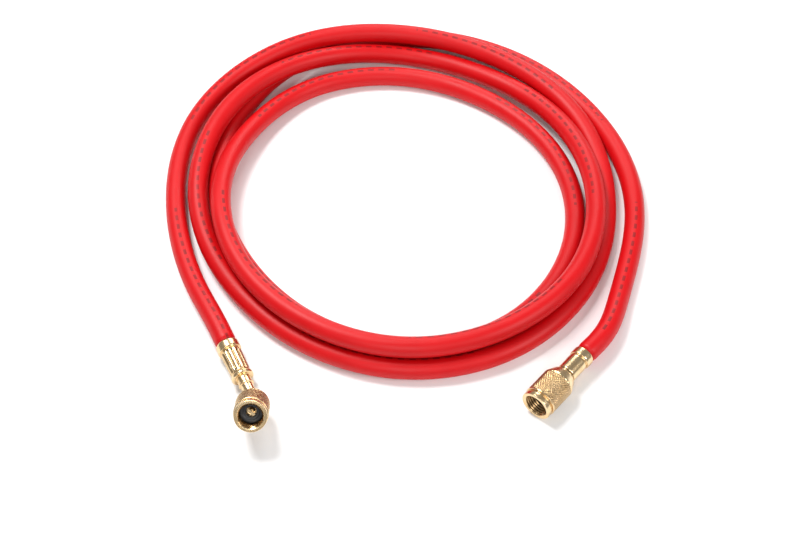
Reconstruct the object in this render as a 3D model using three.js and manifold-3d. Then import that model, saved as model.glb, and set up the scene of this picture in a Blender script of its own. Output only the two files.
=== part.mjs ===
// Refrigerant charging hose: a rubber hose lying in a loose coil, with a crimped brass fitting and a
// knurled swivel nut on each end. One end is straight, the other is bent and holds a core depressor.
// Millimetres, +Z up. The coil lies on the floor, z = 0, and the origin is under its middle.

import * as THREE from 'three';
import { mergeVertices } from 'three/addons/utils/BufferGeometryUtils.js';
import Module from 'manifold-3d';

const wasm = await Module();
wasm.setup();

// Hose
const HOSE_OD = 10;
const HOSE_BORE = 5;
const CRIMPED_OD = 8; // squeezed to this inside each ferrule
const CRIMPED_LENGTH = 11.5;

// Fit between pieces that touch
const CLEARANCE = 0.3;
const OVERLAP = 1; // how far shapes that are joined or cut reach into each other
const SLIVER = 0.1; // keeps two joined faces apart

// Stems: brass tubes whose barbs sit in the hose
const BARB_OD = 4.4;
const NECK_OD = 5.8;
const PASSAGE = 2.4;
const HEAD_LENGTH = 3.2;

// Swivel nuts, for a 7/16-20 thread
const THREAD_MAJOR = 11.11;
const THREAD_FIT = 0.2; // the bore is this much wider than the thread that it takes
const NUT_OD = 15.7; // over the knurl
const NUT_LENGTH = 21.5;
const NUT_WALL = 9; // behind the stem's head
const SHOULDER_OD = 11.6; // the back of the nut, which tapers out to its full size
const SHOULDER_LENGTH = 4.5;
const RIM_OD = 14.9;
const RIM_LENGTH = 2.4;
const GROOVE_WIDTH = 0.9;
const GROOVE_DEPTH = 0.7;
const MOUTH_CHAMFER = 0.4;
const EDGE = 0.3;

// Gaskets and core depressor
const GASKET_THICKNESS = 2.4;
const GASKET_HOLE = 4.6;
const BLADE_WIDTH = 3.6;
const BLADE_THICKNESS = 1.2;
const BLADE_STANDS = 0.8; // in front of the gasket
const BLADE_TURN = -74; // degrees about the nut's axis
const PIN_LENGTH = 2.5; // in the stem's passage

// Angled end
const ANGLED = {
  ferrule: { length: 18.1, collarOd: 11.2, collarLength: 4.3, bodyOd: 9.9, frontOd: 9.3, wall: 3 },
  flutes: { count: 12, radius: 0.95, depth: 0.5 },
  bead: { od: 10.6, thickness: 2.2 },
  neck: { straight: 10.3, bendRadius: 6, bendAngle: 45, after: 0.5 },
};

// Straight end
const STRAIGHT = {
  ferrule: { length: 14.2, collarOd: 10.4, collarLength: 4.2, bodyOd: 9.5, frontOd: 9.5, wall: 2 },
  grooveAfterCollar: { width: 0.5, depth: 0.4 },
  bead: { od: 9.2, thickness: 0.8 },
  neck: { straight: 0.2, bendRadius: 6, bendAngle: 0, after: 0 },
};

// Coil. Every 30 degrees clockwise from COIL_START, how far the hose lies outside COIL_RADIUS and how
// far it is lifted off the floor by the turns below it, both in hose diameters.
const COIL_RADIUS = 100;
const COIL_CENTRE = new THREE.Vector2(-3.5, 8.8);
const COIL_START = 210;
const STATIONS_PER_TURN = 12;
const STEPS_PER_TURN = 20;
const SECTION_SIDES = 12;
const COIL_STATIONS = [
  [1.0, 0.02], [1.1, 0.05], [1.85, 0.35], [1.65, 1.0], [1.2, 0.95], [0.95, 0.7],
  [0.8, 0.38], [0.4, 0.03], [0.35, 0.01], [0.3, 0.01], [-0.05, 0.01], [-0.5, 0.01],
  [-0.55, 0.1], [-0.05, 0.5], [0.35, 1.05], [0.45, 0.85], [0.45, 0.1], [0, 0.1],
  [-0.25, 0.6], [-0.25, 0.93], [-0.1, 1.0], [-0.3, 0.95], [-0.6, 0.95], [-1.0, 1.0],
  [-1.2, 1.05], [-1.25, 1.05], [-1.15, 0.5], [-0.8, 0.05], [-1.1, 0.01], [-1.45, 0.01],
  [-1.4, 0.01], [-1.2, 0.01], [-1.0, 0.01], [-0.9, 0.01], [-1.25, 0.01], [-1.6, 0.01],
  [-1.65, 0.01], [-1.0, 0.01], [0, 0.01], [1.3, 0.01], [1.85, 0.01], [1.9, 0.01],
  [1.8, 0.01], [1.8, 0.01], [2.1, 0.03],
];

// Where the ends of the hose lie, about the coil's centre, and which way their fittings point
const ANGLED_END = { angle: 227.6, out: 1.78, lift: 0.09, heading: -64.8, rise: 0, roll: 25 };
const STRAIGHT_END = { angle: -47.5, out: 2.73, lift: 0.29, heading: -130.3, rise: 0.6, roll: 0 };
const STRAIGHT_RUN = 15; // the hose leaves each fitting straight for this far

const HOSE_RADIUS = HOSE_OD / 2;
const TURNED_SIDES = 28;
const SMALL_SIDES = 8;
const NECK_STEPS = 20;

const rubber = new THREE.MeshStandardMaterial({ color: 0xc60d16, roughness: 0.45, metalness: 0 });
const brass = new THREE.MeshStandardMaterial({ color: 0xdcbc76, roughness: 0.25, metalness: 1 });
const seal = new THREE.MeshStandardMaterial({ color: 0x1b1a19, roughness: 0.6, metalness: 0 });

// A closed mesh as a solid that can be joined and cut.
function solid(geometry) {
  const bare = geometry.clone();
  bare.deleteAttribute('normal');
  bare.deleteAttribute('uv');
  const merged = mergeVertices(bare, 1e-4);
  return new wasm.Manifold(new wasm.Mesh({
    numProp: 3,
    vertProperties: new Float32Array(merged.attributes.position.array),
    triVerts: new Uint32Array(merged.index.array),
  }));
}

function geometryOf(manifold) {
  const mesh = manifold.getMesh();
  const geometry = new THREE.BufferGeometry();
  geometry.setAttribute('position', new THREE.BufferAttribute(mesh.vertProperties, 3));
  geometry.setIndex(new THREE.BufferAttribute(mesh.triVerts, 1));
  geometry.computeVertexNormals();
  return geometry;
}

function named(name, geometry, material) {
  const mesh = new THREE.Mesh(geometry, material);
  mesh.name = name;
  return mesh;
}

// A ring turned about Z, from a closed outline of [radius, z] points.
function turned(outline, sides = TURNED_SIDES) {
  const points = [...outline, outline[0]].map(([r, z]) => new THREE.Vector2(r, z));
  return new THREE.LatheGeometry(points, sides).rotateX(Math.PI / 2);
}

// A round bar or tube along a path.
function swept(path, radius, bore, steps, sides) {
  const shape = new THREE.Shape().absarc(0, 0, radius, 0, 2 * Math.PI);
  if (bore > 0) {
    shape.holes.push(new THREE.Path().absarc(0, 0, bore, 0, 2 * Math.PI, true));
  }
  return new THREE.ExtrudeGeometry(shape, { steps, extrudePath: path, curveSegments: sides / 2 });
}

// A point given by its angle about the coil's centre and its station values.
function coilPoint(angle, out, lift) {
  const radius = COIL_RADIUS + out * HOSE_OD;
  const turn = THREE.MathUtils.degToRad(angle);
  return new THREE.Vector3(
    COIL_CENTRE.x + radius * Math.cos(turn),
    COIL_CENTRE.y + radius * Math.sin(turn),
    HOSE_RADIUS + lift * HOSE_OD,
  );
}

// The frame of an end: its origin is the middle of the ferrule's open face, +Z runs out along the
// fitting, and +Y is the side that the neck bends to.
function endFrame(end) {
  const heading = THREE.MathUtils.degToRad(end.heading);
  const rise = THREE.MathUtils.degToRad(end.rise);
  const flat = new THREE.Vector3(Math.cos(heading), Math.sin(heading), 0);
  const axis = flat.multiplyScalar(Math.cos(rise)).setZ(Math.sin(rise));
  const left = new THREE.Vector3(-axis.y, axis.x, 0).normalize();
  const up = new THREE.Vector3().crossVectors(axis, left).normalize();
  up.applyAxisAngle(axis, THREE.MathUtils.degToRad(end.roll));
  const side = new THREE.Vector3().crossVectors(up, axis);
  const frame = new THREE.Group();
  new THREE.Matrix4().makeBasis(side, up, axis).decompose(frame.position, frame.quaternion, frame.scale);
  frame.position.copy(coilPoint(end.angle, end.out, end.lift));
  frame.updateMatrixWorld();
  return frame;
}

// The hose's route, stepped evenly from station to station so that the turns' facets line up.
class HoseRoute extends THREE.CatmullRomCurve3 {
  getPoint(t, target) {
    const point = super.getPoint(t, target);
    point.z = Math.max(point.z, HOSE_RADIUS); // it never sinks into the floor
    return point;
  }

  getPointAt(u, target) {
    return this.getPoint(u, target);
  }

  getTangentAt(u, target) {
    return this.getTangent(u, target);
  }
}

// The middle line of a stem: straight, bent towards +Y, and straight again.
class StemLine extends THREE.Curve {
  constructor(start, bendStart, bendRadius, bendAngle, after) {
    super();
    this.start = start;
    this.bendStart = bendStart;
    this.bendRadius = bendRadius;
    this.bend = THREE.MathUtils.degToRad(bendAngle);
    this.straight = bendStart - start;
    this.arc = bendRadius * this.bend;
    this.length = this.straight + this.arc + after;
  }

  getPoint(t, target = new THREE.Vector3()) {
    const along = t * this.length;
    if (along <= this.straight) {
      return target.set(0, 0, this.start + along);
    }
    const turn = Math.min(along - this.straight, this.arc) / this.bendRadius;
    const rest = Math.max(along - this.straight - this.arc, 0);
    return target.set(
      0,
      this.bendRadius * (1 - Math.cos(turn)) + rest * Math.sin(turn),
      this.bendStart + this.bendRadius * Math.sin(turn) + rest * Math.cos(turn),
    );
  }
}

function makeHose(frames) {
  const points = COIL_STATIONS.map(([out, lift], i) => (
    coilPoint(COIL_START - (360 / STATIONS_PER_TURN) * i, out, lift)));
  const [start, end] = frames.map((frame) => (
    [-CLEARANCE, -CLEARANCE - STRAIGHT_RUN].map((z) => frame.localToWorld(new THREE.Vector3(0, 0, z)))));
  const route = new HoseRoute([...start, ...points, ...end.reverse()]);
  const steps = Math.round((route.points.length - 1) * (STEPS_PER_TURN / STATIONS_PER_TURN));
  const tube = solid(swept(route, HOSE_RADIUS, HOSE_BORE / 2, steps, SECTION_SIDES));
  const overlap = HOSE_RADIUS / 2; // how far the crimped piece reaches into the full hose
  const crimped = frames.map((frame) => solid(turned([
    [HOSE_BORE / 2 + SLIVER, -CLEARANCE - overlap],
    [CRIMPED_OD / 2, -CLEARANCE - overlap],
    [CRIMPED_OD / 2, CRIMPED_LENGTH],
    [HOSE_BORE / 2 + SLIVER, CRIMPED_LENGTH],
  ], SMALL_SIDES * 2).applyMatrix4(frame.matrixWorld)));
  return named('hose', geometryOf(crimped.reduce((whole, piece) => whole.add(piece), tube)), rubber);
}

// The outline of a ferrule: an open bore for the hose, and a front wall round the stem's neck.
function ferruleOutline({ length, collarOd, collarLength, bodyOd, frontOd, wall }, groove) {
  const bore = CRIMPED_OD / 2 + CLEARANCE;
  const hole = NECK_OD / 2 + CLEARANCE;
  const collar = collarOd / 2;
  const body = bodyOd / 2;
  const shoulder = groove
    ? [[collar, collarLength], [body - groove.depth, collarLength],
      [body - groove.depth, collarLength + groove.width], [body, collarLength + groove.width]]
    : [[collar, collarLength - EDGE], [collar - EDGE, collarLength], [body, collarLength]];
  return [
    [bore, 0], [collar - EDGE, 0], [collar, EDGE], ...shoulder,
    [frontOd / 2, length - EDGE], [frontOd / 2 - EDGE, length],
    [hole, length], [hole, length - wall], [bore, length - wall],
  ];
}

function makeFlutedFerrule() {
  const { length, collarLength, bodyOd } = ANGLED.ferrule;
  const { count, radius, depth } = ANGLED.flutes;
  let ferrule = solid(turned(ferruleOutline(ANGLED.ferrule)));
  for (let i = 0; i < count; i += 1) {
    const cutter = new THREE.CylinderGeometry(radius, radius, length, SMALL_SIDES).rotateX(Math.PI / 2);
    cutter.translate(0, bodyOd / 2 + radius - depth, collarLength + EDGE + length / 2);
    cutter.rotateZ((2 * Math.PI * i) / count);
    ferrule = ferrule.subtract(solid(cutter));
  }
  return named('ferrule_angled_end', geometryOf(ferrule), brass);
}

function makePlainFerrule() {
  const outline = ferruleOutline(STRAIGHT.ferrule, STRAIGHT.grooveAfterCollar);
  return named('ferrule_straight_end', turned(outline), brass);
}

// Places along a fitting's axis, measured from the ferrule's open face or, past the bend, from the
// back of the nut.
function stations({ ferrule, bead, neck }) {
  const beadBack = ferrule.length + CLEARANCE;
  const bendStart = beadBack + bead.thickness + neck.straight;
  const headBack = NUT_WALL + CLEARANCE;
  const gasketBack = headBack + HEAD_LENGTH + CLEARANCE;
  const gasketFront = gasketBack + GASKET_THICKNESS;
  return { beadBack, bendStart, headBack, gasketBack, gasketFront };
}

// The frame of a nut, in its end's frame: its origin is the middle of the nut's back face.
function nutFrame(fitting) {
  const { bendStart } = stations(fitting);
  const { bendRadius, bendAngle, after } = fitting.neck;
  const line = new StemLine(bendStart, bendStart, bendRadius, bendAngle, after + CLEARANCE);
  const frame = new THREE.Group();
  frame.position.copy(line.getPoint(1));
  frame.rotation.x = -line.bend;
  frame.updateMatrix();
  return frame;
}

function makeStem(name, fitting) {
  const { beadBack, bendStart, headBack } = stations(fitting);
  const { bead, neck } = fitting;
  const barbStart = -CLEARANCE;
  const shankStart = CRIMPED_LENGTH + CLEARANCE;
  const inNut = headBack + HEAD_LENGTH;
  const after = neck.after + CLEARANCE + inNut;
  const steps = neck.bendAngle > 0 ? NECK_STEPS : 1;
  const { bendRadius, bendAngle } = neck;
  const neckLine = new StemLine(shankStart, bendStart, bendRadius, bendAngle, after - SLIVER);
  const boreLine = new StemLine(
    barbStart - OVERLAP, bendStart, bendRadius, bendAngle, after + OVERLAP);
  const barb = turnedBar(BARB_OD / 2, barbStart, shankStart + OVERLAP);
  const beadOutline = [
    [NECK_OD / 2 - EDGE, beadBack], [bead.od / 2 - EDGE, beadBack], [bead.od / 2, beadBack + EDGE],
    [bead.od / 2, beadBack + bead.thickness - EDGE], [bead.od / 2 - EDGE, beadBack + bead.thickness],
    [NECK_OD / 2 - EDGE, beadBack + bead.thickness],
  ];
  const headRadius = (THREAD_MAJOR + THREAD_FIT) / 2 - CLEARANCE;
  const inPassage = PASSAGE / 4; // the passage is cut after this ring is joined
  const frame = nutFrame(fitting);
  const head = turned([
    [inPassage, headBack], [headRadius, headBack], [headRadius, inNut - EDGE],
    [headRadius - EDGE, inNut], [inPassage, inNut],
  ]).applyMatrix4(frame.matrix);
  const stem = solid(swept(neckLine, NECK_OD / 2, 0, steps, SMALL_SIDES * 2))
    .add(solid(barb))
    .add(solid(turned(beadOutline)))
    .add(solid(head))
    .subtract(solid(swept(boreLine, PASSAGE / 2, 0, steps, SMALL_SIDES)));
  return named(name, geometryOf(stem), brass);
}

// A plain round bar along Z.
function turnedBar(radius, from, to) {
  return new THREE.CylinderGeometry(radius, radius, to - from, SMALL_SIDES * 2)
    .rotateX(Math.PI / 2).translate(0, 0, (from + to) / 2);
}

function makeNut(name) {
  const hole = NECK_OD / 2 + CLEARANCE;
  const thread = (THREAD_MAJOR + THREAD_FIT) / 2;
  const body = NUT_OD / 2;
  const rim = RIM_OD / 2;
  const rimBack = NUT_LENGTH - RIM_LENGTH;
  const bodyEnd = rimBack - GROOVE_WIDTH;
  return named(name, turned([
    [hole, 0], [SHOULDER_OD / 2, 0], [body, SHOULDER_LENGTH],
    [body, bodyEnd - EDGE], [body - EDGE, bodyEnd], [rim - GROOVE_DEPTH, bodyEnd],
    [rim - GROOVE_DEPTH, rimBack], [rim - EDGE, rimBack],
    [rim, rimBack + EDGE], [rim, NUT_LENGTH - EDGE], [rim - EDGE, NUT_LENGTH],
    [thread + MOUTH_CHAMFER, NUT_LENGTH], [thread, NUT_LENGTH - MOUTH_CHAMFER],
    [thread, NUT_WALL], [hole, NUT_WALL],
  ]), brass);
}

function makeGasket(name, fitting) {
  const { gasketBack, gasketFront } = stations(fitting);
  const outer = (THREAD_MAJOR + THREAD_FIT) / 2 - CLEARANCE;
  const inner = GASKET_HOLE / 2;
  return named(name, turned([
    [inner, gasketBack], [outer, gasketBack], [outer, gasketFront - EDGE], [outer - EDGE, gasketFront],
    [inner + EDGE, gasketFront], [inner, gasketFront - EDGE],
  ]), seal);
}

// A blade that pushes a valve's core open, on a pin in the stem's passage.
function makeDepressor(fitting) {
  const { gasketBack, gasketFront } = stations(fitting);
  const tip = gasketFront + BLADE_STANDS;
  const pinRadius = PASSAGE / 2 - CLEARANCE;
  const blade = new THREE.BoxGeometry(BLADE_WIDTH, BLADE_THICKNESS, tip - gasketBack)
    .translate(0, 0, (tip + gasketBack) / 2);
  const pin = turnedBar(pinRadius, gasketBack - PIN_LENGTH, gasketBack + OVERLAP);
  const mesh = named('core_depressor', geometryOf(solid(blade).add(solid(pin))), brass);
  mesh.rotation.z = THREE.MathUtils.degToRad(BLADE_TURN);
  return mesh;
}

function makeFitting(end, frame, fitting, ferrule, loose) {
  const nut = nutFrame(fitting);
  nut.add(makeNut(`nut_${end}`), makeGasket(`gasket_${end}`, fitting), ...loose);
  frame.add(ferrule, makeStem(`stem_${end}`, fitting), nut);
  return frame;
}

const angledFrame = endFrame(ANGLED_END);
const straightFrame = endFrame(STRAIGHT_END);
const group = new THREE.Group();
group.add(
  makeHose([angledFrame, straightFrame]),
  makeFitting('angled_end', angledFrame, ANGLED, makeFlutedFerrule(), [makeDepressor(ANGLED)]),
  makeFitting('straight_end', straightFrame, STRAIGHT, makePlainFerrule(), []),
);

export default group;
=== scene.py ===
"""A refrigerant charging hose: red rubber in a loose coil, with a brass fitting on each end."""

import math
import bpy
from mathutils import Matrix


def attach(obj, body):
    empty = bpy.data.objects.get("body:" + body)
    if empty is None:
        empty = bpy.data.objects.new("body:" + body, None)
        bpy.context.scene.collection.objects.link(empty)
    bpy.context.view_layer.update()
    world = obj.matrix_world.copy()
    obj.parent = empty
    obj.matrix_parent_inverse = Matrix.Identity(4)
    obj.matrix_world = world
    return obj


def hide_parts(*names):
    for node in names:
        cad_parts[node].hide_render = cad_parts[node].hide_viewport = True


bl_info = {
    "name": "Charging Hose",
    "version": (1, 0, 0),
    "blender": (4, 5, 0),
    "location": "View3D > Sidebar > Charging Hose",
    "description": "Dresses a coiled charging hose and its brass end fittings",
    "category": "Add Mesh",
}

import bpy
import numpy as np
from bpy.props import FloatProperty, FloatVectorProperty, IntProperty, PointerProperty
from mathutils import Euler

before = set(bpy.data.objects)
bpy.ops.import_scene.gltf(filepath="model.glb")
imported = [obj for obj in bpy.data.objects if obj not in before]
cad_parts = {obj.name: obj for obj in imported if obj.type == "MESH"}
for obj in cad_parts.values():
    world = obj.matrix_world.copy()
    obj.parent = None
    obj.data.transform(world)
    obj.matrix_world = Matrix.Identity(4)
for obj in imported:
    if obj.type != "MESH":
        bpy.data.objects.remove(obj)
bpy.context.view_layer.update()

MM = 0.001

# The photograph's frame and view
FRAME_WIDTH_PX = 800
FOCAL_PX = 1550
SENSOR_MM = 36
CAMERA_PLACE = (-2.5 * MM, -493.1 * MM, 596.3 * MM)
CAMERA_ELEVATION = 52

# Fit between the pieces, and the stem that runs through each fitting
CLEARANCE = 0.3 * MM
CRIMPED_RADIUS = 4 * MM
CRIMPED_LENGTH = 11.5 * MM
BARB_RADIUS = 2.2 * MM
NECK_RADIUS = 2.9 * MM
PASSAGE_RADIUS = 1.2 * MM
HEAD_LENGTH = 3.2 * MM
BEND_RADIUS = 6 * MM

# Nut
THREAD_RADIUS = 5.655 * MM
NUT_LENGTH = 21.5 * MM
NUT_WALL = 9 * MM
SHOULDER_RADIUS = 5.8 * MM
SHOULDER_LENGTH = 4.5 * MM
RIM_RADIUS = 7.45 * MM
RIM_LENGTH = 2.4 * MM
GROOVE_WIDTH = 0.9 * MM
GROOVE_DEPTH = 0.7 * MM
MOUTH_CHAMFER = 0.4 * MM
GASKET_THICKNESS = 2.4 * MM
GASKET_HOLE_RADIUS = 2.3 * MM

# Coil: every 30 degrees clockwise from COIL_START, how far the hose lies outside COIL_RADIUS and how
# far the turns below lift it off the floor, both in hose diameters
HOSE_DIAMETER = 10 * MM
HOSE_BORE_RADIUS = 2.5 * MM
COIL_RADIUS = 100 * MM
COIL_CENTRE = (-3.5 * MM, 8.8 * MM)
COIL_START = 210
STATION_ANGLE = 30
COIL_STATIONS = [
    (1.0, 0.02), (1.1, 0.05), (1.85, 0.35), (1.65, 1.0), (1.2, 0.95), (0.95, 0.7),
    (0.8, 0.38), (0.4, 0.03), (0.35, 0.01), (0.3, 0.01), (-0.05, 0.01), (-0.5, 0.01),
    (-0.55, 0.1), (-0.05, 0.5), (0.35, 1.05), (0.45, 0.85), (0.45, 0.1), (0, 0.1),
    (-0.25, 0.6), (-0.25, 0.93), (-0.1, 1.0), (-0.3, 0.95), (-0.6, 0.95), (-1.0, 1.0),
    (-1.2, 1.05), (-1.25, 1.05), (-1.15, 0.5), (-0.8, 0.05), (-1.1, 0.01), (-1.45, 0.01),
    (-1.4, 0.01), (-1.2, 0.01), (-1.0, 0.01), (-0.9, 0.01), (-1.25, 0.01), (-1.6, 0.01),
    (-1.65, 0.01), (-1.0, 0.01), (0, 0.01), (1.3, 0.01), (1.85, 0.01), (1.9, 0.01),
    (1.8, 0.01), (1.8, 0.01), (2.1, 0.03),
]
STRAIGHT_RUN = 15 * MM
END_ROUNDING = 0.3 * MM
SPLINE_SAMPLES_PER_POINT = 96

# Facets round the turned pieces
FERRULE_SIDES = 192
STEM_SIDES = 64
NUT_SIDES = 320
GASKET_SIDES = 64

# Brass: rings that the lathe leaves, and the roughness of its polished parts
RINGS_PER_MM = 5
BRASS_ROUGHNESS = 0.16

# Print on the hose: where its row lies round the hose and how far it drifts, as shares of a turn,
# the half width of a dash, and how many dashes and groups of them a metre holds
PRINT_ROW = 0.21
PRINT_DRIFT = 0.05
PRINT_HALF_WIDTH = 0.022
DASHES_PER_METRE = 180
DASH_SHARE = 0.55
GROUPS_PER_METRE = 7
GROUP_SHARE = 0.6
DRAWING_LINES = 90

# Band and turned ring on the bent neck, from the front of its bead
BAND_STEP = 0.45 * MM
RING_STEP = 0.7 * MM
BAND_END = 3.2 * MM
RING_BACK = 3.4 * MM
RING_FRONT = 4.1 * MM
RING_END = 4.4 * MM

# Ends: where the hose ends lie about the coil's centre, which way the fittings point, and the sizes
# along each fitting's axis from the open face of its ferrule
ENDS = {
    "angled_end": {
        "angle": 227.6, "out": 1.78, "lift": 0.09, "heading": -64.8, "rise": 0, "roll": 25,
        "ferrule": 18.1 * MM, "collar_radius": 5.6 * MM, "collar": 4.3 * MM,
        "body_radius": 4.95 * MM, "front_radius": 4.65 * MM, "front_wall": 3 * MM,
        "bead_radius": 5.3 * MM, "bead": 2.2 * MM,
        "neck": 10.3 * MM, "bend": 45, "after": 0.5 * MM, "nut_body": "angled_nut",
    },
    "straight_end": {
        "angle": -47.5, "out": 2.73, "lift": 0.29, "heading": -130.3, "rise": 0.6, "roll": 0,
        "ferrule": 14.2 * MM, "collar_radius": 5.2 * MM, "collar": 4.2 * MM,
        "body_radius": 4.75 * MM, "front_radius": 4.75 * MM, "front_wall": 2 * MM,
        "bead_radius": 4.6 * MM, "bead": 0.8 * MM,
        "neck": 0.2 * MM, "bend": 0, "after": 0, "nut_body": "straight_nut",
    },
}
HOSE_BODY = "hose"


# Shapes worked out with numpy

def grid_mesh(name, points, uv):
    """A closed sheet of quads over a grid of points, rows by columns, where both wrap. uv holds the
    two map values of each grid line's corners, with one extra row and column so that the seam is
    closed without running backwards."""
    rows, columns = points.shape[:2]
    i, j = np.meshgrid(np.arange(rows), np.arange(columns), indexing="ij")
    i, j = i.ravel(), j.ravel()
    corners = np.stack([(i, j), (i, j + 1), (i + 1, j + 1), (i + 1, j)], axis=1)
    faces = (corners[0] % rows) * columns + corners[1] % columns
    mesh = bpy.data.meshes.new(name)
    mesh.from_pydata(points.reshape(-1, 3), [], faces.T)
    layer = mesh.uv_layers.new(name="UVMap")
    layer.data.foreach_set("uv", uv[corners[0].T, corners[1].T].astype(np.float32).ravel())
    mesh.polygons.foreach_set("use_smooth", np.ones(len(mesh.polygons), dtype=bool))
    piece = bpy.data.objects.new(name, mesh)
    bpy.context.collection.objects.link(piece)
    return piece


def face_outwards(piece):
    """Turns the faces round if the closed mesh has them pointing in: the sum over its triangles of a
    sixth of each triple product is its volume, which is negative then."""
    mesh = piece.data
    mesh.calc_loop_triangles()
    co = np.empty(len(mesh.vertices) * 3)
    mesh.vertices.foreach_get("co", co)
    tri = np.empty(len(mesh.loop_triangles) * 3, dtype=np.int32)
    mesh.loop_triangles.foreach_get("vertices", tri)
    a, b, c = co.reshape(-1, 3)[tri.reshape(-1, 3)].transpose(1, 0, 2)
    if np.einsum("ij,ij->i", a, np.cross(b, c)).sum() < 0:
        mesh.flip_normals()


def rounded(outline, steps=4):
    """The outline with each corner that has a radius, its third value, replaced by a short curve: a
    quadratic from one side to the other with the corner as its control point."""
    count = len(outline)
    points = []
    for k, (r, z, *radius) in enumerate(outline):
        here = np.array([r, z])
        if not radius:
            points.append(here)
            continue
        before = np.array(outline[k - 1][:2]) - here
        after = np.array(outline[(k + 1) % count][:2]) - here
        reach = [min(radius[0], 0.49 * np.hypot(*side)) / np.hypot(*side)
                 for side in (before, after)]
        start, end = here + before * reach[0], here + after * reach[1]
        for t in np.linspace(0, 1, steps + 1):
            points.append((1 - t) ** 2 * start + 2 * t * (1 - t) * here + t ** 2 * end)
    return np.array(points)


def refined(points, longest):
    """The closed outline with points added along its sides, none further apart than longest."""
    out = []
    for start, end in zip(points, np.roll(points, -1, axis=0)):
        pieces = max(1, math.ceil(np.hypot(*(end - start)) / longest))
        out.extend(start + (end - start) * t for t in np.arange(pieces) / pieces)
    return np.array(out)


class EndFrame:
    """The frame of a fitting: its origin, its three directions, and the bent line of its stem."""

    def __init__(self, end):
        heading, rise, roll = (math.radians(end[key]) for key in ("heading", "rise", "roll"))
        self.end = end
        self.origin = coil_point(end["angle"], end["out"], end["lift"])
        level = np.array([math.cos(heading), math.sin(heading), 0])
        self.z = level * math.cos(rise) + np.array([0, 0, math.sin(rise)])
        left = np.array([-self.z[1], self.z[0], 0])
        left /= np.linalg.norm(left)
        up = np.cross(self.z, left)
        self.y = up * math.cos(roll) - left * math.sin(roll)
        self.x = np.cross(self.y, self.z)
        bead_back = end["ferrule"] + CLEARANCE
        self.bead_back = bead_back
        self.bend_start = bead_back + end["bead"] + end["neck"]
        self.bend = math.radians(end["bend"])
        self.nut_start = self.bend_start + BEND_RADIUS * self.bend + end["after"] + CLEARANCE

    def place(self, along, radius, angle):
        """Points round the stem's line. The line runs straight to bend_start, turns towards +Y on an
        arc of BEND_RADIUS, and runs straight on. Each point is the line's point at that distance
        along, plus radius times the cosine of the angle across the bend and its sine in the bend."""
        turn = np.clip((along - self.bend_start) / BEND_RADIUS, 0, self.bend)
        rest = np.maximum(along - self.bend_start - BEND_RADIUS * self.bend, 0)
        before = np.minimum(along, self.bend_start)
        out = BEND_RADIUS * (1 - np.cos(turn)) + rest * np.sin(turn)
        on = before + BEND_RADIUS * np.sin(turn) + rest * np.cos(turn)
        out = out + radius * np.sin(angle) * np.cos(turn)
        on = on - radius * np.sin(angle) * np.sin(turn)
        side = radius * np.cos(angle)
        return (self.origin + side[..., None] * self.x + out[..., None] * self.y
                + on[..., None] * self.z)


def turned_piece(name, end_frame, outline, sides, relief=None):
    """A ring round a fitting's line from a closed outline of (radius, distance along) points. relief
    takes the radius, the distance and the angle of every grid point and gives the new radius and,
    from 0 to 1, how much painted shade darkens the colour there."""
    angle = np.arange(sides) * 2 * math.pi / sides
    radius, along = (np.repeat(outline[:, k:k + 1], sides, axis=1) for k in (0, 1))
    angles = np.broadcast_to(angle, radius.shape)
    shade = np.zeros(radius.shape)
    if relief is not None:
        radius, shade = relief(radius, along, angles)
    length = np.hypot(*np.diff(np.vstack([outline, outline[:1]]), axis=0).T)
    v = np.concatenate([[0], np.cumsum(length)]) / MM
    u = np.arange(sides + 1) / sides
    uv = np.stack(np.meshgrid(u, v), axis=-1)
    piece = grid_mesh(name, end_frame.place(along, radius, angles), uv)
    # The shade attribute holds painted shade for the brass shader.
    layer = piece.data.attributes.new("shade", "FLOAT", "POINT")
    layer.data.foreach_set("value", shade.astype(np.float32).ravel())
    face_outwards(piece)
    return piece


def coil_point(angle, out, lift):
    """The point at an angle about the coil's centre, from its station values."""
    radius = COIL_RADIUS + out * HOSE_DIAMETER
    turn = math.radians(angle)
    return np.array([
        COIL_CENTRE[0] + radius * math.cos(turn),
        COIL_CENTRE[1] + radius * math.sin(turn),
        HOSE_DIAMETER / 2 + lift * HOSE_DIAMETER,
    ])


def smooth_line(points, step):
    """The cubic spline through the points whose slope and curvature never jump, with straight ends,
    resampled at equal steps along its length, and that length. The knots are spaced by the
    distances between points, and the second derivatives at the points solve one linear system. It
    is kept from sinking into the floor."""
    points = np.asarray(points, float)
    count = len(points)
    knots = np.concatenate([[0], np.cumsum(np.linalg.norm(np.diff(points, axis=0), axis=1))])
    gap = np.diff(knots)
    system = np.eye(count)
    right = np.zeros_like(points)
    slope = np.diff(points, axis=0) / gap[:, None]
    for k in range(1, count - 1):
        system[k, k - 1:k + 2] = gap[k - 1], 2 * (gap[k - 1] + gap[k]), gap[k]
        right[k] = 6 * (slope[k] - slope[k - 1])
    bend = np.linalg.solve(system, right)
    s = np.linspace(0, knots[-1], SPLINE_SAMPLES_PER_POINT * count)
    k = np.clip(np.searchsorted(knots, s) - 1, 0, count - 2)
    a, b, h = (knots[k + 1] - s)[:, None], (s - knots[k])[:, None], gap[k][:, None]
    line = (bend[k] * a ** 3 + bend[k + 1] * b ** 3) / (6 * h)
    line += (points[k] / h - bend[k] * h / 6) * a + (points[k + 1] / h - bend[k + 1] * h / 6) * b
    line[:, 2] = np.maximum(line[:, 2], HOSE_DIAMETER / 2)
    along = np.concatenate([[0], np.cumsum(np.linalg.norm(np.diff(line, axis=0), axis=1))])
    even = np.linspace(0, along[-1], round(along[-1] / step) + 1)
    resampled = np.stack([np.interp(even, along, line[:, axis]) for axis in range(3)], axis=-1)
    return resampled, along[-1]


# Shader maths

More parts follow.
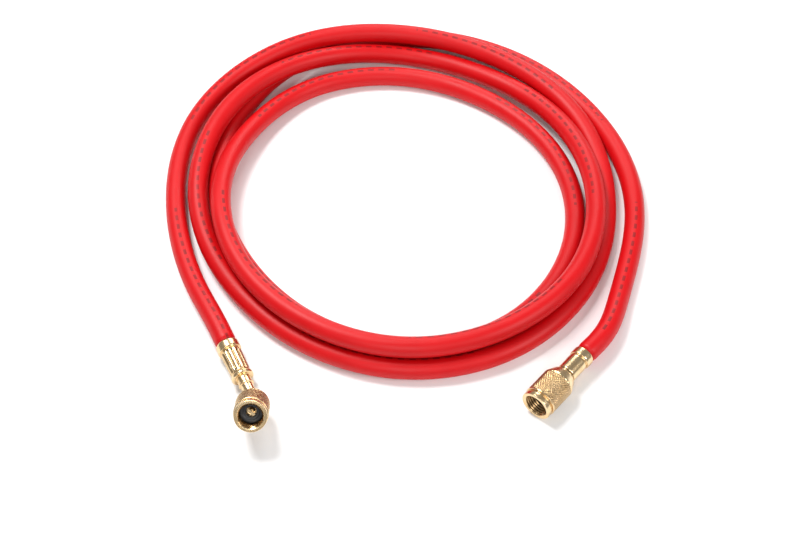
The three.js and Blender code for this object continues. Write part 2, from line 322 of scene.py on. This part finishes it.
class Value:
    """A shader socket whose Python operators add the Math nodes."""

    def __init__(self, shader, socket):
        self.shader, self.socket = shader, socket

    def math(self, operation, *others):
        values = {k + 1: other for k, other in enumerate(others)}
        return self.shader.node("ShaderNodeMath", {"operation": operation}, {0: self, **values})

    def __add__(self, other):
        return self.math("ADD", other)

    def __sub__(self, other):
        return self.math("SUBTRACT", other)

    def __mul__(self, other):
        return self.math("MULTIPLY", other)

    def __rsub__(self, other):
        return self.math("MULTIPLY_ADD", -1, other)

    __radd__ = __add__
    __rmul__ = __mul__

    def clip(self):
        return self.math("MINIMUM", 1).math("MAXIMUM", 0)

    def below(self, limit):
        return self.math("LESS_THAN", limit)


class Shader:
    """A material and its node tree. node adds any node and links or sets its sockets."""

    def __init__(self, name):
        self.material = bpy.data.materials.new(name)
        self.material.use_nodes = True
        self.tree = self.material.node_tree
        self.surface = self.tree.nodes["Principled BSDF"]

    def node(self, kind, settings=None, inputs=None, output=0):
        node = self.tree.nodes.new(kind)
        for key, value in (settings or {}).items():
            setattr(node, key, value)
        for key, value in (inputs or {}).items():
            self.feed(node.inputs[key], value)
        return Value(self, node.outputs[output])

    def feed(self, socket, value):
        if isinstance(value, Value):
            self.tree.links.new(value.socket, socket)
        else:
            socket.default_value = value

    def set(self, **inputs):
        for key, value in inputs.items():
            self.feed(self.surface.inputs[key.replace("_", " ")], value)

    def uv(self):
        """The around and along values of the piece's own map."""
        uv = self.node("ShaderNodeUVMap", {"uv_map": "UVMap"})
        split = self.node("ShaderNodeSeparateXYZ", inputs={0: uv}).socket.node
        return Value(self, split.outputs[0]), Value(self, split.outputs[1])

    def noise(self, scale, detail=3, roughness=0.55):
        place = self.node("ShaderNodeTexCoord", output="Object")
        return self.node("ShaderNodeTexNoise",
                         inputs={"Vector": place, "Scale": scale, "Detail": detail,
                                 "Roughness": roughness})

    def mix(self, factor, first, second):
        """A colour between two colours."""
        return self.node("ShaderNodeMix", {"data_type": "RGBA"},
                         {0: factor, 6: first, 7: second}, output=2)

    def bump(self, height, strength, distance):
        return self.node("ShaderNodeBump",
                         inputs={"Height": height, "Strength": strength, "Distance": distance})


def rgba(colour):
    return (*colour, 1)


def hose_rubber(look):
    """Satin red rubber: mottled colour, a fine moulded grain, faint lengthwise drawing lines, and one
    printed row of plain dashes that drifts slowly round the hose."""
    s = Shader("hose_rubber")
    around, along = s.uv()
    mottle = s.noise(60, 4)
    fine = s.noise(1400, 2)
    colour = s.mix(mottle, rgba(look.rubber_dark), rgba(look.rubber))
    drift = (along * 9).math("SINE") * PRINT_DRIFT
    off_row = (around - PRINT_ROW - drift).math("ABSOLUTE")
    in_dash = (along * DASHES_PER_METRE).math("FRACT").below(DASH_SHARE)
    in_group = (along * GROUPS_PER_METRE).math("FRACT").below(GROUP_SHARE)
    ink = off_row.below(PRINT_HALF_WIDTH) * in_dash * in_group * (0.35 + mottle * 0.5)
    colour = s.mix(ink, colour, rgba(look.ink))
    lines = (around * 2 * math.pi * DRAWING_LINES).math("SINE") * 0.3
    s.set(Base_Color=colour, Roughness=(0.36 + mottle * 0.16).clip(), Specular_IOR_Level=0.3,
          Normal=s.bump(fine + lines, 0.12, 0.0002))
    return s.material


def turned_brass(name, look):
    """Bright brass from a lathe: fine rings round the axis, a warmer tarnish in patches, small
    differences of polish, and painted shade in the cuts and the bore, set by the shade attribute."""
    s = Shader(name)
    _, along = s.uv()
    patch = s.noise(220, 5, 0.6)
    tone = ((patch - 0.35) * 2.2).clip()
    colour = s.mix(tone, rgba(look.brass_dark), rgba(look.brass))
    # Painted shade: the colour darkens towards the shaded brass as far as the shade attribute says.
    shade = s.node("ShaderNodeAttribute", {"attribute_name": "shade"}, output="Fac")
    colour = s.mix((shade * look.painted_shade_strength).clip(), colour, rgba(look.painted_shade_brass))
    rings = (along * (2 * math.pi * RINGS_PER_MM)).math("SINE")
    s.set(Base_Color=colour, Metallic=1.0, Roughness=(BRASS_ROUGHNESS + (1 - tone) * 0.12).clip(),
          Normal=s.bump(rings * 0.5 + patch, 0.06, 0.0001))
    return s.material


def cad_brass(look):
    """The same brass for a piece with no map of its own."""
    s = Shader("brass_blade")
    patch = s.noise(500, 4)
    colour = s.mix(patch, rgba(look.brass_dark), rgba(look.brass))
    s.set(Base_Color=colour, Metallic=1.0, Roughness=0.22 + patch * 0.1,
          Normal=s.bump(patch, 0.08, 0.0001))
    return s.material


def seal_rubber(look):
    """Black moulded rubber with a slight sheen."""
    s = Shader("seal_rubber")
    grain = s.noise(900, 3)
    s.set(Base_Color=s.mix(grain, rgba(look.seal), (0.03, 0.03, 0.032, 1)),
          Roughness=0.28 + grain * 0.2, Normal=s.bump(grain, 0.15, 0.0001))
    return s.material


def finish_piece(piece, material, body, slot_name, *nodes):
    """Gives a piece its material and its body, and hides the CAD nodes that it stands for."""
    piece.data.materials.clear()
    piece.data.materials.append(material)
    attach(piece, body)
    if nodes:
        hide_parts(*nodes)


# Properties

class HoseLook(bpy.types.PropertyGroup):
    rubber: FloatVectorProperty(
        name="Rubber", description="Red of the hose", subtype="COLOR", size=3,
        default=(0.62, 0.001, 0.004))
    rubber_dark: FloatVectorProperty(
        name="Rubber in the dark patches", description="Darker red that mottles the hose",
        subtype="COLOR", size=3, default=(0.5, 0.001, 0.003))
    ink: FloatVectorProperty(
        name="Ink", description="Colour of the printed dashes", subtype="COLOR", size=3,
        default=(0.1, 0.002, 0.003))
    brass: FloatVectorProperty(
        name="Brass", description="Polished brass", subtype="COLOR", size=3,
        default=(0.9, 0.71, 0.45))
    brass_dark: FloatVectorProperty(
        name="Tarnished brass", description="Brass in its darker patches", subtype="COLOR", size=3,
        default=(0.74, 0.52, 0.27))
    # Painted shade: the dark colour that the knurl's grooves, the flute valleys and the nut's bore are
    # shaded towards.
    painted_shade_brass: FloatVectorProperty(
        name="Brass in the cuts", description="Dark brass in the knurl, the flutes and the bore",
        subtype="COLOR", size=3, default=(0.2, 0.09, 0.02))
    # How far the painted shade in the cuts and the bore goes towards that colour.
    painted_shade_strength: FloatProperty(
        name="Painted shade", description="How dark the cuts are", default=0.75, min=0, max=1,
        subtype="FACTOR")
    seal: FloatVectorProperty(
        name="Seal", description="Black seal rubber", subtype="COLOR", size=3,
        default=(0.008, 0.008, 0.008))


class HoseSizes(bpy.types.PropertyGroup):
    sides: IntProperty(
        name="Sides", description="Facets round the hose", default=28, min=12, max=48)
    step: FloatProperty(
        name="Step", description="Distance between the rings of the hose", default=2.5 * MM,
        min=0.001, max=0.01, unit="LENGTH")


class NutSizes(bpy.types.PropertyGroup):
    radius: FloatProperty(
        name="Radius", description="Outside of the nut, over the knurl", default=7.85 * MM,
        unit="LENGTH")
    teeth: IntProperty(
        name="Teeth", description="Knurl teeth round the nut", default=40, min=24, max=96)
    knurl_depth: FloatProperty(
        name="Knurl depth", description="Depth of the knurl", default=0.4 * MM, unit="LENGTH")
    thread_pitch: FloatProperty(
        name="Thread pitch", description="Distance from thread to thread", default=1.27 * MM,
        unit="LENGTH")
    thread_depth: FloatProperty(
        name="Thread depth", description="Height of the thread's ridges", default=0.6 * MM,
        unit="LENGTH")


class FerruleSizes(bpy.types.PropertyGroup):
    flutes: IntProperty(
        name="Flutes", description="Crimped flutes round the angled ferrule", default=12)
    flute_depth: FloatProperty(
        name="Flute depth", description="How deep the flutes are pressed", default=0.5 * MM,
        unit="LENGTH")


# Operators

class OBJECT_OT_charging_hose_stage(bpy.types.Operator):
    """Makes the camera, the floor and the lights"""

    bl_idname = "object.charging_hose_stage"
    bl_label = "Stage"

    def execute(self, context):
        scene = context.scene
        lens = bpy.data.cameras.new("camera")
        lens.sensor_width = SENSOR_MM
        lens.lens = FOCAL_PX * SENSOR_MM / FRAME_WIDTH_PX
        camera = bpy.data.objects.new("camera", lens)
        camera.location = CAMERA_PLACE
        camera.rotation_euler = Euler((math.radians(90 - CAMERA_ELEVATION), 0, 0))
        scene.collection.objects.link(camera)
        scene.camera = camera
        self.make_floor(scene)
        self.make_lights(scene)
        self.make_world(scene)
        scene.view_settings.view_transform = "Standard"
        return {"FINISHED"}

    def make_floor(self, scene):
        reach = 3.0
        mesh = bpy.data.meshes.new("floor")
        mesh.from_pydata([(-reach, -reach, 0), (reach, -reach, 0), (reach, reach, 0),
                          (-reach, reach, 0)], [], [(0, 1, 2, 3)])
        floor = bpy.data.objects.new("floor", mesh)
        scene.collection.objects.link(floor)
        s = Shader("floor")
        s.set(Base_Color=(0.9, 0.9, 0.9, 1), Roughness=0.75, Specular_IOR_Level=0.1)
        mesh.materials.append(s.material)

    def make_lights(self, scene):
        for name, place, size, watts in (
                ("key", (-0.35, 0.25, 0.9), 0.4, 9),
                ("fill", (0.8, -0.5, 0.7), 0.4, 5),
                ("front", (-0.1, -0.9, 0.8), 0.5, 4),
                ("rim", (0.2, 0.9, 0.6), 0.5, 4)):
            light = bpy.data.lights.new(name, "AREA")
            light.shape = "DISK"
            light.size = size
            light.energy = watts
            lamp = bpy.data.objects.new(name, light)
            lamp.location = place
            toward = -lamp.location
            lamp.rotation_euler = toward.to_track_quat("-Z", "Y").to_euler()
            scene.collection.objects.link(lamp)

    def make_world(self, scene):
        world = bpy.data.worlds.new("studio")
        world.use_nodes = True
        sky = world.node_tree.nodes["Background"]
        sky.inputs["Color"].default_value = (1, 1, 1, 1)
        sky.inputs["Strength"].default_value = 0.3
        scene.world = world


class OBJECT_OT_charging_hose_tube(bpy.types.Operator):
    bl_idname = "object.charging_hose_tube"
    bl_label = "Hose"

    def execute(self, context):
        sizes = context.scene.charging_hose_sizes
        points = [coil_point(COIL_START - STATION_ANGLE * k, *values)
                  for k, values in enumerate(COIL_STATIONS)]
        first, last = (EndFrame(ENDS[name]) for name in ("angled_end", "straight_end"))
        starts = [first.origin - first.z * d for d in (CLEARANCE, CLEARANCE + STRAIGHT_RUN)]
        ends = [last.origin - last.z * d for d in (CLEARANCE + STRAIGHT_RUN, CLEARANCE)]
        line, length = smooth_line([*starts, *points, *ends], sizes.step)
        piece, centres = self.make_tube(line, length, sizes.sides, first, last)
        finish_piece(piece, hose_rubber(context.scene.charging_hose_look), HOSE_BODY,
                     "hose_rubber", "hose")
        return {"FINISHED"}

    def make_tube(self, line, length, sides, first, last):
        """A tube with its bore, as one closed grid: its rings run out along the outside and back
        along the bore. Inside each ferrule the outside steps in to the crimped radius. A ring's
        angle starts at the side of the hose and turns over its top, which is found from the up
        direction, so that the map doesn't twist."""
        along = np.linspace(0, length, len(line))
        steps = (0, 2 * MM, CRIMPED_LENGTH)
        lead = np.array([first.origin + first.z * d for d in steps[::-1]])
        tail = np.array([last.origin + last.z * d for d in steps])
        rings = [lead, line[:1], line, line[-1:], tail]
        reach = [-CRIMPED_LENGTH * np.array([1, 0.2, 0.05]), along[:1], along, along[-1:],
                 length + CRIMPED_LENGTH * np.array([0.05, 0.2, 1])]
        radius = [np.full(3, CRIMPED_RADIUS), [CRIMPED_RADIUS], self.soft_ends(along),
                  [CRIMPED_RADIUS], np.full(3, CRIMPED_RADIUS)]
        centre, reach, radius = (np.concatenate(part) for part in (rings, reach, radius))
        heading = np.gradient(line, axis=0)
        heading = np.concatenate([np.tile(-first.z, (4, 1)), heading, np.tile(last.z, (4, 1))])
        heading /= np.linalg.norm(heading, axis=1)[:, None]
        side = np.cross(heading, [0, 0, 1])
        side /= np.linalg.norm(side, axis=1)[:, None]
        up = np.cross(side, heading)
        angle = np.arange(sides) * 2 * math.pi / sides
        spokes = (side[:, None] * np.cos(angle)[None, :, None]
                  + up[:, None] * np.sin(angle)[None, :, None])
        outside = centre[:, None] + spokes * radius[:, None, None]
        inside = centre[:, None] + spokes * HOSE_BORE_RADIUS
        points = np.concatenate([outside, inside[::-1]])
        v = np.concatenate([reach, reach[::-1], reach[:1]])
        u = np.arange(sides + 1) / sides
        piece = grid_mesh("hose_tube", points, np.stack(np.meshgrid(u, v), axis=-1))
        face_outwards(piece)
        return piece, centre

    def soft_ends(self, along):
        """The full radius, less a small rounding in the last ring at each end."""
        radius = np.full(len(along), HOSE_DIAMETER / 2)
        radius[[0, -1]] -= END_ROUNDING
        return radius


class OBJECT_OT_charging_hose_ferrules(bpy.types.Operator):
    """Makes the crimped sleeve on each end of the hose"""

    bl_idname = "object.charging_hose_ferrules"
    bl_label = "Ferrules"

    def execute(self, context):
        look = context.scene.charging_hose_look
        for name, end in ENDS.items():
            outline = refined(rounded(self.outline(end)), 0.6 * MM)
            relief = self.flutes if name == "angled_end" else None
            piece = turned_piece(f"ferrule_{name}_turned", EndFrame(end), outline, FERRULE_SIDES,
                                 relief)
            finish_piece(piece, turned_brass(f"ferrule_brass_{name}", look), HOSE_BODY, "brass",
                         f"ferrule_{name}")
        return {"FINISHED"}

    def outline(self, end):
        """An open bore for the hose, a rolled collar, a neck in behind it, the body, and a front
        wall with a hole for the stem."""
        bore = CRIMPED_RADIUS + CLEARANCE
        hole = NECK_RADIUS + CLEARANCE
        collar, body, front = (end[key] for key in ("collar_radius", "body_radius", "front_radius"))
        tuck = 0.35 * MM
        return [
            (bore, 0, 0.2 * MM), (collar, 0, 0.9 * MM), (collar, end["collar"], 0.9 * MM),
            (body - tuck, end["collar"], 0.3 * MM),
            (body - tuck, end["collar"] + 0.5 * MM, 0.2 * MM),
            (body, end["collar"] + 1.1 * MM, 0.4 * MM),
            (front, end["ferrule"], 0.5 * MM), (hole, end["ferrule"]),
            (hole, end["ferrule"] - end["front_wall"]), (bore, end["ferrule"] - end["front_wall"]),
        ]

    def flutes(self, radius, along, angle):
        """Presses in flutes: a raised cosine round the axis, sharpened, inside a window along it
        that fades in behind the collar and out before the front. Each flute gets painted shade as
        deep as it is cut."""
        sizes = bpy.context.scene.charging_hose_ferrule
        end = ENDS["angled_end"]
        wave = (0.5 + 0.5 * np.cos(angle * sizes.flutes)) ** 1.6
        fade_in = np.clip((along - end["collar"] - 0.9 * MM) / (1.2 * MM), 0, 1)
        fade_out = np.clip((end["ferrule"] - 0.4 * MM - along) / (0.8 * MM), 0, 1)
        outside = radius > CRIMPED_RADIUS + 2 * CLEARANCE
        # Painted shade in the flute valleys, as deep as each is cut.
        shade = wave * fade_in * fade_out * outside
        return radius - sizes.flute_depth * shade, shade


class OBJECT_OT_charging_hose_stems(bpy.types.Operator):
    """Makes the stem of each fitting: barb, bead, neck and head"""

    bl_idname = "object.charging_hose_stems"
    bl_label = "Stems"

    def execute(self, context):
        look = context.scene.charging_hose_look
        for name, end in ENDS.items():
            end_frame = EndFrame(end)
            outline = refined(rounded(self.outline(end, end_frame)), 0.8 * MM)
            piece = turned_piece(f"stem_{name}_turned", end_frame, outline, STEM_SIDES)
            finish_piece(piece, turned_brass(f"stem_brass_{name}", look), HOSE_BODY, "brass",
                         f"stem_{name}")
        return {"FINISHED"}

    def outline(self, end, end_frame):
        """A barb in the hose, a shank through the ferrule's front, a bead, the neck round its bend
        and the head inside the nut, round one passage."""
        shank = CRIMPED_LENGTH + CLEARANCE
        back = end_frame.bead_back
        front = back + end["bead"]
        bead = end["bead_radius"]
        head = end_frame.nut_start + NUT_WALL + CLEARANCE
        head_radius = THREAD_RADIUS - CLEARANCE
        soft = min(1 * MM, 0.45 * end["bead"])
        return [
            (PASSAGE_RADIUS, -CLEARANCE), (BARB_RADIUS, -CLEARANCE, 0.3 * MM), (BARB_RADIUS, shank),
            (NECK_RADIUS, shank), (NECK_RADIUS, back), (bead, back, soft), (bead, front, soft),
            *self.collar(end, front),
            (NECK_RADIUS, head), (head_radius, head), (head_radius, head + HEAD_LENGTH, 0.3 * MM),
            (PASSAGE_RADIUS, head + HEAD_LENGTH),
        ]

    def collar(self, end, front):
        """The thicker band of the bent neck next to its bead, with a turned ring at its end."""
        if not end["bend"]:
            return [(NECK_RADIUS, front)]
        band, ring = NECK_RADIUS + BAND_STEP, NECK_RADIUS + RING_STEP
        return [
            (band, front, 0.3 * MM), (band, front + BAND_END, 0.1 * MM),
            (ring, front + RING_BACK, 0.2 * MM), (ring, front + RING_FRONT, 0.2 * MM),
            (NECK_RADIUS, front + RING_END, 0.3 * MM),
        ]


class OBJECT_OT_charging_hose_nuts(bpy.types.Operator):
    """Makes the knurled swivel nuts with their threads"""

    bl_idname = "object.charging_hose_nuts"
    bl_label = "Nuts"

    def execute(self, context):
        look = context.scene.charging_hose_look
        for name, end in ENDS.items():
            end_frame = EndFrame(end)
            start = end_frame.nut_start
            outline = refined(rounded(self.outline()), 0.22 * MM) + [0, start]
            piece = turned_piece(f"nut_{name}_turned", end_frame, outline, NUT_SIDES,
                                 self.relief(start))
            finish_piece(piece, turned_brass(f"nut_brass_{name}", look), end["nut_body"],
                         "nut_brass", f"nut_{name}")
        return {"FINISHED"}

    def outline(self):
        """A tapered shoulder, the knurled body, a groove, a polished rim, the chamfered mouth and the
        thread's bore down to the wall that the stem's head bears on."""
        radius = bpy.context.scene.charging_hose_nut.radius
        hole = NECK_RADIUS + CLEARANCE
        rim_back = NUT_LENGTH - RIM_LENGTH
        body_end = rim_back - GROOVE_WIDTH
        groove = RIM_RADIUS - GROOVE_DEPTH
        return [
            (hole, 0, 0.2 * MM), (SHOULDER_RADIUS, 0, 0.5 * MM), (radius, SHOULDER_LENGTH, 0.8 * MM),
            (radius, body_end, 0.5 * MM), (groove, body_end, 0.15 * MM),
            (groove, rim_back, 0.15 * MM), (RIM_RADIUS, rim_back, 0.5 * MM),
            (RIM_RADIUS, NUT_LENGTH, 0.3 * MM),
            (THREAD_RADIUS + MOUTH_CHAMFER, NUT_LENGTH, 0.1 * MM),
            (THREAD_RADIUS, NUT_LENGTH - MOUTH_CHAMFER, 0.1 * MM),
            (THREAD_RADIUS, NUT_WALL), (hole, NUT_WALL),
        ]

    def relief(self, start):
        """The knurl and the thread, as one function of radius, distance and angle. It paints shade
        into the knurl's grooves, and into the bore all over but less on the thread's cuts."""
        sizes = bpy.context.scene.charging_hose_nut
        body_end = NUT_LENGTH - RIM_LENGTH - GROOVE_WIDTH

        def ridge(phase):
            return np.abs(2 * (phase - np.floor(phase)) - 1)

        def cut(radius, along, angle):
            """Diamond knurl: two crossing sets of V grooves, each a triangle wave of the angle plus or
            minus the distance along, and the deeper of the two counts. Thread: a triangle wave of
            the distance in pitches less the turns, so that it climbs one pitch a turn."""
            z = along - start
            cell = 2 * math.pi * sizes.radius / sizes.teeth
            turns = angle / (2 * math.pi)
            across, on = turns * sizes.teeth, z / cell
            teeth = np.minimum(ridge(across + on), ridge(across - on))
            window = np.clip((z - SHOULDER_LENGTH - 0.2 * MM) / (0.6 * MM), 0, 1)
            window = window * np.clip((body_end - 0.5 * MM - z) / (0.6 * MM), 0, 1)
            outer = radius > RIM_RADIUS
            knurl = (1 - teeth) * window * outer
            gasket = NUT_WALL + 2 * CLEARANCE + HEAD_LENGTH + GASKET_THICKNESS
            climb = ridge(z / sizes.thread_pitch - turns)
            mouth = np.clip((NUT_LENGTH - MOUTH_CHAMFER - z) / (0.5 * MM), 0, 1)
            mouth = mouth * np.clip((z - gasket - 0.2 * MM) / (0.6 * MM), 0, 1)
            bore = np.abs(radius - THREAD_RADIUS) < 0.01 * MM
            thread = climb * mouth * bore
            # Painted shade: the knurl's grooves and the whole bore are darkened, the thread's cuts
            # less.
            inside = (radius < THREAD_RADIUS + 0.01 * MM) * (z > NUT_WALL)
            shade = np.maximum(knurl, inside * (1 - 0.4 * thread))
            return radius - sizes.knurl_depth * knurl - sizes.thread_depth * thread, shade

        return cut


class OBJECT_OT_charging_hose_seals(bpy.types.Operator):
    """Makes the gaskets and finishes the core depressor"""

    bl_idname = "object.charging_hose_seals"
    bl_label = "Gaskets and depressor"

    def execute(self, context):
        look = context.scene.charging_hose_look
        material = seal_rubber(look)
        for name, end in ENDS.items():
            end_frame = EndFrame(end)
            back = end_frame.nut_start + NUT_WALL + 2 * CLEARANCE + HEAD_LENGTH
            front = back + GASKET_THICKNESS
            outer = THREAD_RADIUS - CLEARANCE
            lip = 0.4 * MM
            outline = [
                (GASKET_HOLE_RADIUS, back, lip), (outer, back, lip), (outer, front, lip),
                (GASKET_HOLE_RADIUS + 1.6 * MM, front, lip),
                (GASKET_HOLE_RADIUS + 1.2 * MM, front - 0.3 * MM, lip),
                (GASKET_HOLE_RADIUS, front - 0.3 * MM, lip),
            ]
            piece = turned_piece(f"gasket_{name}_ring", end_frame,
                                 refined(rounded(outline), 0.3 * MM), GASKET_SIDES)
            finish_piece(piece, material, HOSE_BODY, "seal_rubber", f"gasket_{name}")
        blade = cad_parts["core_depressor"]
        for slot in blade.material_slots:
            slot.material = cad_brass(look)
        return {"FINISHED"}


# Panel

STEPS = (
    OBJECT_OT_charging_hose_stage,
    OBJECT_OT_charging_hose_ferrules,
    OBJECT_OT_charging_hose_stems,
    OBJECT_OT_charging_hose_nuts,
    OBJECT_OT_charging_hose_seals,
    OBJECT_OT_charging_hose_tube,
)
SETTINGS = {
    "charging_hose_look": HoseLook,
    "charging_hose_sizes": HoseSizes,
    "charging_hose_nut": NutSizes,
    "charging_hose_ferrule": FerruleSizes,
}


class VIEW3D_PT_charging_hose(bpy.types.Panel):
    """Lists the settings and the steps that make the hose"""

    bl_label = "Charging Hose"
    bl_space_type = "VIEW_3D"
    bl_region_type = "UI"
    bl_category = "Charging Hose"

    def draw(self, context):
        for name, group in SETTINGS.items():
            for key in group.__annotations__:
                self.layout.prop(getattr(context.scene, name), key)
        for step in STEPS:
            self.layout.operator(step.bl_idname)


CLASSES = (*SETTINGS.values(), *STEPS, VIEW3D_PT_charging_hose)


def register():
    for cls in CLASSES:
        bpy.utils.register_class(cls)
    for name, group in SETTINGS.items():
        setattr(bpy.types.Scene, name, PointerProperty(type=group))


def unregister():
    for name in SETTINGS:
        delattr(bpy.types.Scene, name)
    for cls in reversed(CLASSES):
        bpy.utils.unregister_class(cls)


def main():
    register()
    bpy.ops.object.charging_hose_stage()
    bpy.ops.object.charging_hose_ferrules()
    bpy.ops.object.charging_hose_stems()
    bpy.ops.object.charging_hose_nuts()
    bpy.ops.object.charging_hose_seals()
    bpy.ops.object.charging_hose_tube()


if __name__ == "__main__":
    main()
